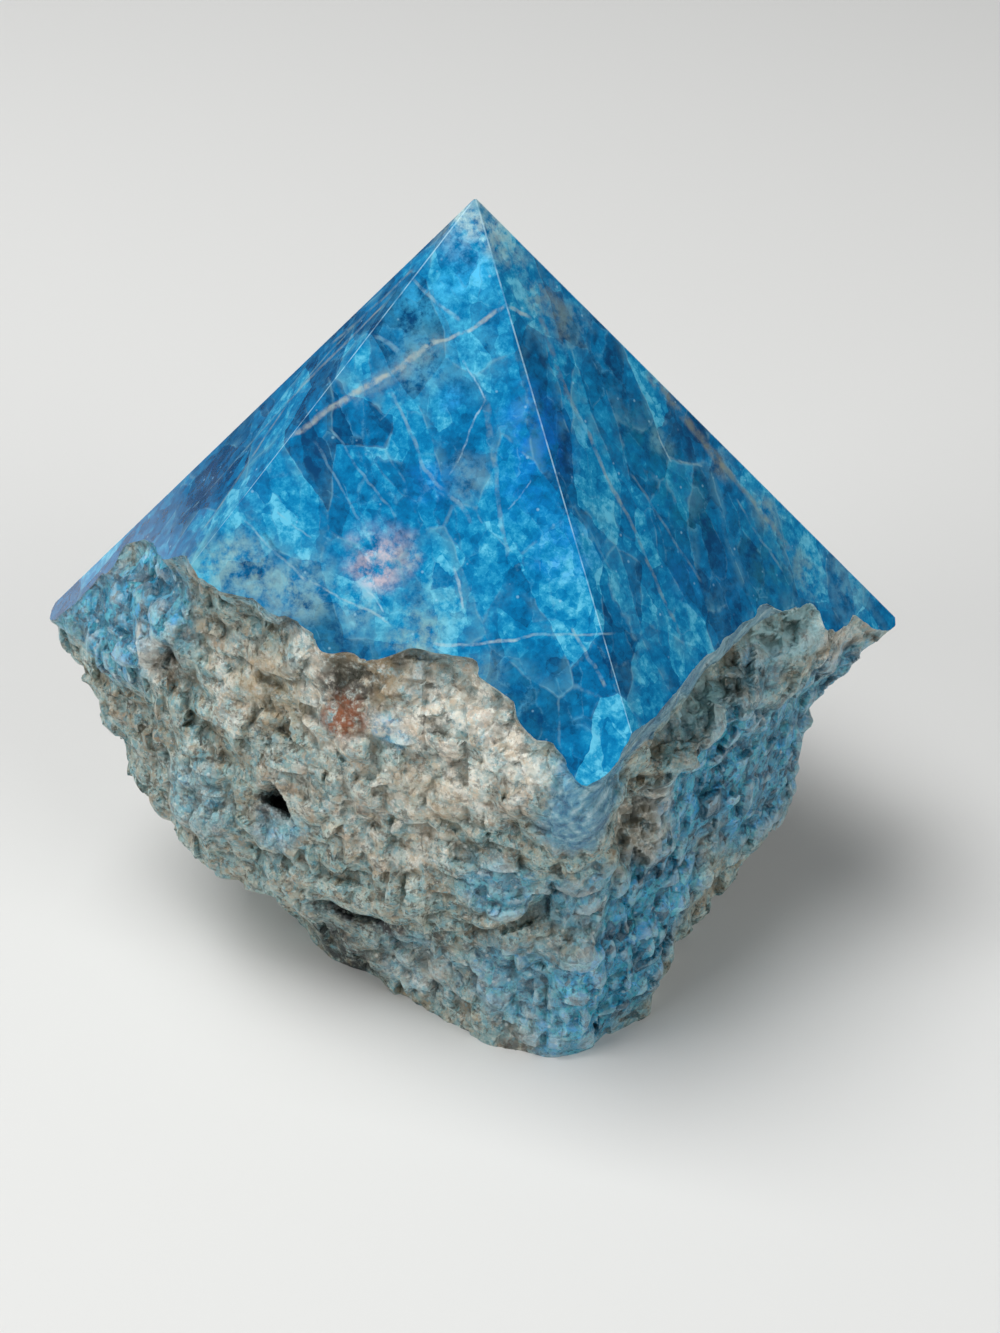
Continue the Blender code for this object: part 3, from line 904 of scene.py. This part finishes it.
broken_apatite, tree, shader = new_material("apatite_broken")
place = stone_place(tree)
wavy = shaken(tree, place, 4.0, 2.4, 5.0)
crumbs = clouds(tree, place, 0.8, 5.0, 0.72, seed=23.0)
blotch_noise = clouds(tree, place, 3.2, 5.0, 0.65, seed=29.0)
facet_tone = attribute(tree, "grain_tone")
groove_shade = attribute(tree, "groove_shade")
filled_share = times(tree, zone(tree, wavy, FILLED_ZONES), within(tree, blotch_noise, 0.60, 0.32))
fresh = times(tree, within(tree, attribute(tree, "under_polish"), 0.2, 3.5), within(tree, blotch_noise, 0.60, 0.35))
fresh = weigh(tree, ((fresh, 0.7), (times(tree, fresh, filled_share), -0.6)))
blue_share = add(
    tree, "ShaderNodeMath", {0: zone(tree, wavy, BLUE_ZONES), 1: fresh}, operation="MAXIMUM"
).outputs[0]

lean, grain_random, _, grain_edge = cells(tree, shaken(tree, place, 1.2, 0.40, 4.0), 2.1)
small_lean, small_random, small_other, small_edge = cells(tree, shaken(tree, place, 0.7, 0.20, 3.0), 1.1)
broad = clouds(tree, place, 7.0, 3.0, 0.5, seed=35.0)
grain_tone = weigh(
    tree,
    ((grain_random, 0.50), (small_random, 0.40), (facet_tone, 0.15), (crumbs, 0.7), (broad, 0.6)),
)
spread = add(tree, "ShaderNodeMapRange", {"Value": grain_tone, "From Min": 0.66, "From Max": 1.68}).outputs[0]
colour = blend(tree, blue_share, ramp(tree, spread, GREY_GRAINS), ramp(tree, spread, BLUE_GRAINS))
rim = times(
    tree,
    within(tree, weigh(tree, ((small_edge, 1.0), (crumbs, 0.35))), 0.17, 0.23),
    within(tree, small_other, 0.7, 0.2),
)
rim_colour = blend(tree, blue_share, linear("#ddd6c0"), linear("#3fa3ba"))
colour = blend(tree, times(tree, rim, 0.45), colour, rim_colour)
# Painted shade: the creases between the grains are darkened towards a dark hollow colour.
crease_shade = within(tree, weigh(tree, ((grain_edge, 1.0), (blotch_noise, 0.5))), 0.22, 0.30)
hollow_shade_colour = blend(tree, blue_share, linear("#474a3c"), linear("#063a4c"))
colour = blend(tree, times(tree, crease_shade, 0.35), colour, hollow_shade_colour)
matte = times(tree, rim, 0.5)
for number, (size, least, speck_and_shade_colour, filled, bare, blue) in enumerate(SPECKS_AND_SHADE):
    noise = clouds(tree, place, size, 5.0, 0.7, seed=41.0 + number)
    strength = weigh(tree, ((filled_share, filled - bare), (blue_share, blue - bare)), bare)
    share = times(tree, within(tree, noise, least + 0.03, least - 0.02), strength)
    colour = blend(tree, share, colour, linear(speck_and_shade_colour))
    matte = add(tree, "ShaderNodeMath", {0: matte, 1: share}, operation="MAXIMUM").outputs[0]
# Painted shade in the grooves where one grain's facet meets the next.
colour = blend(tree, times(tree, groove_shade, 0.20), colour, linear("#4c4735"))
colour = blend(tree, times(tree, filled_share, 0.34), colour, linear("#f0eee4"))

stain_and_light_place = shaken(tree, place, 2.0, 0.9, 5.0)
for middle, reach, stain_and_light_colour, strength in STAINS_AND_PAINTED_LIGHT:
    share = times(tree, ball(tree, stain_and_light_place, middle, reach, core=0.45), strength)
    share = times(tree, share, within(tree, crumbs, 0.56, 0.36))
    colour = blend(tree, share, colour, linear(stain_and_light_colour))
relief_fine = attribute(tree, "relief_fine")
relief_broad = attribute(tree, "relief_broad")
# Painted shade in the hollows of the skin, small and broad.
colour = blend(tree, times(tree, within(tree, relief_fine, -1.3, -0.2), 0.5), colour, hollow_shade_colour)
colour = blend(tree, times(tree, within(tree, relief_broad, -1.3, -0.2), 0.2), colour, hollow_shade_colour)
# The skin is painted paler where it stands out.
raised_paler = times(tree, within(tree, relief_fine, 1.3, 0.4), within(tree, blue_share, 0.8, 0.0))
colour = blend(tree, times(tree, raised_paler, 0.25), colour, linear("#dfe9e6"))
fleck = add(tree, "ShaderNodeTexVoronoi", {"Vector": place, "Scale": 1 / 0.9})
chosen = add(tree, "ShaderNodeSeparateColor", {0: fleck.outputs["Color"]}).outputs[2]
glint = times(tree, within(tree, fleck.outputs["Distance"], 0.12, 0.30), within(tree, chosen, 0.88, 0.80))
colour = blend(tree, times(tree, glint, 0.35), colour, linear("#eef2ee"))

# %% [markdown]
# Under the right polished face runs a strip where the stone seems to have slid along itself. It is nearly
# smooth, and scratched along its length in lighter and darker blue.

# %% The scratched strip
SCRATCH_DIRECTION = Vector((0.60, 0.74, 0.29))
SCRATCH_STRETCH = 9
SCRATCH_BLUES = (
    (0.34, "#245f82"),
    (0.44, "#447f9d"),
    (0.54, "#6697a9"),
    (0.62, "#8fb3bf"),
    (0.72, "#b4cfd6"),
)

scratch_place = add(
    tree,
    "ShaderNodeMapping",
    {
        "Vector": place,
        "Rotation": Vector((0, 0, 1)).rotation_difference(SCRATCH_DIRECTION).to_euler(),
        "Scale": (1, 1, SCRATCH_STRETCH),
    },
    vector_type="TEXTURE",
).outputs["Vector"]
scratches = clouds(tree, scratch_place, 0.6, 3.0, seed=31.0)
scratched = ramp(tree, scratches, SCRATCH_BLUES)
torn_worn = weigh(tree, ((attribute(tree, "worn"), 1.0), (blotch_noise, 1.2)), -0.6)
colour = blend(tree, times(tree, within(tree, torn_worn, 0.50, 0.25), 0.85), colour, scratched)
tree.links.new(colour, shader.inputs["Base Color"])
tree.links.new(weigh(tree, ((small_random, 0.20), (matte, 0.55)), 0.14), shader.inputs["Roughness"])
shader.inputs["IOR"].default_value = APATITE_IOR
leaning = tilted(tree, ((lean, 0.75), (small_lean, 0.60)))
crumb_bump = add(
    tree, "ShaderNodeBump", {"Height": crumbs, "Strength": 0.8, "Distance": 0.4 * MM, "Normal": leaning}
)
flat_topped = within(tree, grain_edge, 0.14, 0.0)
grain_bump = add(
    tree,
    "ShaderNodeBump",
    {"Height": flat_topped, "Strength": 0.5, "Distance": 0.25 * MM, "Normal": crumb_bump.outputs[0]},
)
tree.links.new(grain_bump.outputs[0], shader.inputs["Normal"])

# %% [markdown]
# The base is out of sight in the photo. It is taken to be sawn and never polished, so it is the stone's
# inner colour under a dull skin, with a roughness of 0.6 and faint marks of the blade.

# %% Sawn apatite
sawn_apatite, tree, shader = new_material("apatite_sawn")
place = stone_place(tree)
colour, _ = inner_colour(tree, place)
tree.links.new(blend(tree, 0.5, colour, linear("#8fa5a8")), shader.inputs["Base Color"])
saw_marks = add(tree, "ShaderNodeTexWave", {"Vector": place, "Scale": 0.9, "Distortion": 0.6}).outputs["Fac"]
saw_bump = add(tree, "ShaderNodeBump", {"Height": saw_marks, "Strength": 0.3, "Distance": 0.1 * MM})
tree.links.new(saw_bump.outputs[0], shader.inputs["Normal"])
shader.inputs["Roughness"].default_value = 0.6
shader.inputs["IOR"].default_value = APATITE_IOR

# %% [markdown]
# The mesh faces take their material from where they lie: on a polished plane, on the base, on a ridge
# bevel, or else on the broken skin.

# %% Give each face its finish
stone.data.materials.clear()
for material in (broken_apatite, polished_apatite, bruised_apatite, sawn_apatite):
    stone.data.materials.append(material)
BROKEN, POLISHED, BRUISED, SAWN = range(4)
LOOKS_UP = 0.3


def near_ridge(face):
    """Whether a small face lies between two polished planes, as the bevels do."""
    near = [flat for flat in polished if abs((face.center - flat["point"]).dot(flat["normal"])) < RIDGE_WIDTH]
    return len(near) > 1


counts = [0, 0, 0, 0]
for face in stone.data.polygons:
    if any(lies_on(face, flat) for flat in polished):
        face.material_index = POLISHED
    elif any(lies_on(face, flat) for flat in sawn):
        face.material_index = SAWN
    elif near_ridge(face) and face.normal.z > LOOKS_UP:
        face.material_index = BRUISED
    else:
        face.material_index = BROKEN
    face.use_smooth = False
    counts[face.material_index] += 1
print("broken, polished, bruised, sawn faces:", counts)
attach(stone, "root")
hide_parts("apatite_point")

# %% [markdown]
# The stage: a pale matt floor, and a camera that sees the stone as the photo does. It looks down at 35
# degrees from about 23 cm off the stone's middle, with a lens like 59 mm on a full frame. The tilt and
# the lens are estimates, of which a few were tried, and the place was then fitted to the outline.

# %% Floor and camera
FLOOR_SIDE = 0.8

bpy.ops.object.select_all(action="DESELECT")
bpy.ops.mesh.primitive_plane_add(size=FLOOR_SIDE)
floor = bpy.context.object
floor.name = "floor"
paper, tree, shader = new_material("pale_paper")
shader.inputs["Base Color"].default_value = linear("#dcdcda")
shader.inputs["Roughness"].default_value = 0.9
floor.data.materials.append(paper)

# In millimetres from the ground under the tip.
CAMERA_PLACE = (2.3, -192.6, 165.6)
CAMERA_TILT = 35.0
FOCAL_PIXELS = 2200.0
FRAME_HEIGHT_PIXELS = 1333.0
SENSOR = 36.0

lens = bpy.data.cameras.new("camera")
lens.sensor_width = SENSOR
lens.lens = SENSOR * FOCAL_PIXELS / FRAME_HEIGHT_PIXELS
lens.clip_start = 0.01
camera = bpy.data.objects.new("camera", lens)
camera.location = from_tip_foot(CAMERA_PLACE)
camera.rotation_euler = (math.radians(90.0 - CAMERA_TILT), 0, 0)
bpy.context.scene.collection.objects.link(camera)
bpy.context.scene.camera = camera

# %% [markdown]
# The light in the photo is soft and comes from above and a little from the left. A large lamp overhead
# does that, with a weaker one low in front on each side, and a faint pale sky all round.

# %% Lights
# Lamps: name, place and side in metres, power in watts. All of them look at the stone's middle.
LAMPS = (
    ("window", (-0.32, 0.05, 0.90), 0.6, 8.0),
    ("left", (-0.80, -0.50, 0.38), 0.5, 4.4),
    ("fill", (0.60, -0.55, 0.45), 0.5, 3.2),
)
LOOKED_AT = Vector((0, 0, 0.04))
SKY = 0.08

for name, spot, size, power in LAMPS:
    lamp = bpy.data.lights.new(name, "AREA")
    lamp.size = size
    lamp.energy = power
    holder = bpy.data.objects.new(name, lamp)
    holder.location = spot
    holder.rotation_euler = (Vector(spot) - LOOKED_AT).to_track_quat("Z", "Y").to_euler()
    bpy.context.scene.collection.objects.link(holder)
sky = bpy.data.worlds.new("sky")
sky.use_nodes = True
sky.node_tree.nodes["Background"].inputs["Color"].default_value = linear("#e8edf2")
sky.node_tree.nodes["Background"].inputs["Strength"].default_value = SKY
bpy.context.scene.world = sky
bpy.context.scene.view_settings.view_transform = "Standard"
